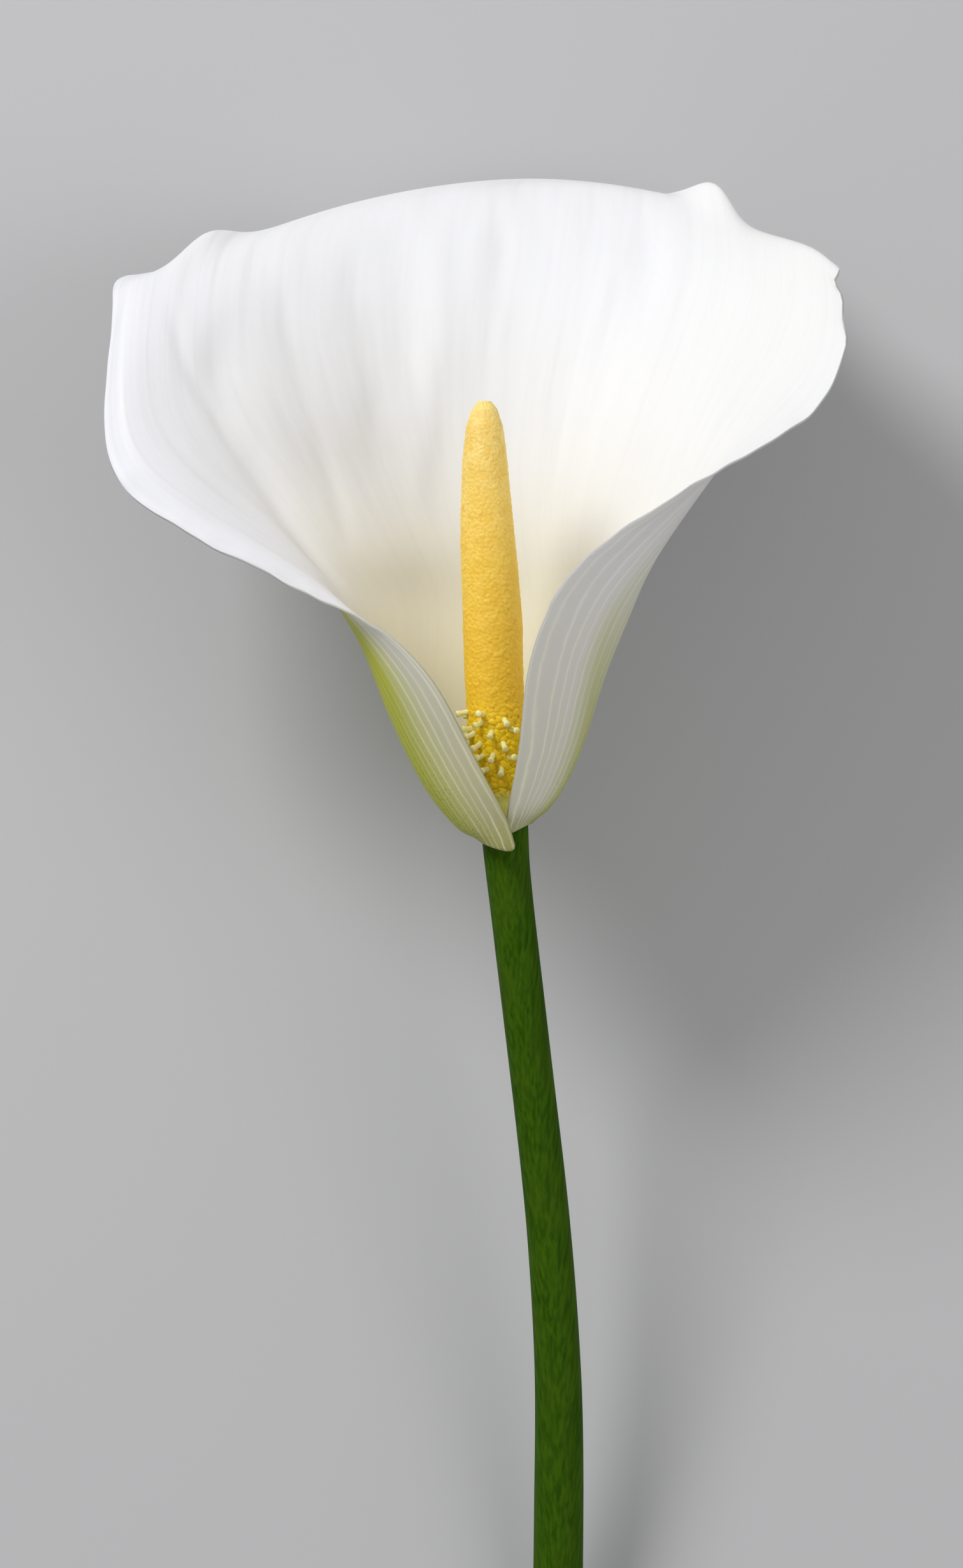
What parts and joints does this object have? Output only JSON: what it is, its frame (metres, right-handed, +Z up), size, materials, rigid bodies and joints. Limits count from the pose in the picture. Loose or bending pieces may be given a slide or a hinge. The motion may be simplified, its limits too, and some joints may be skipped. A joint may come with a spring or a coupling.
{
  "type": "arum lily flower",
  "caption": "Cut arum lily flower lying on its back: a white spathe rolled into a funnel with a flared rim, a yellow spadix inside it and a bent green stem.",
  "frame": {"origin": "centre of the box's bottom, on the surface that the flower lies on", "axes": "+Y from the cut end of the stem to the head, +Z up out of the open front, +X to the right as the open front is seen"},
  "size_m": [0.1404, 0.3048, 0.0879],
  "materials": {
    "stem_green": "smooth waxy green skin with fine lengthwise lines",
    "spathe_white": "satin white, with cream veins and a yellow-green base on the outside",
    "spadix_yellow": "matt orange yellow, covered in small florets"
  },
  "bodies": {
    "root": {"stem": "stem_green", "spathe": "spathe_white", "spadix": "spadix_yellow"}
  },
  "joints": []
}
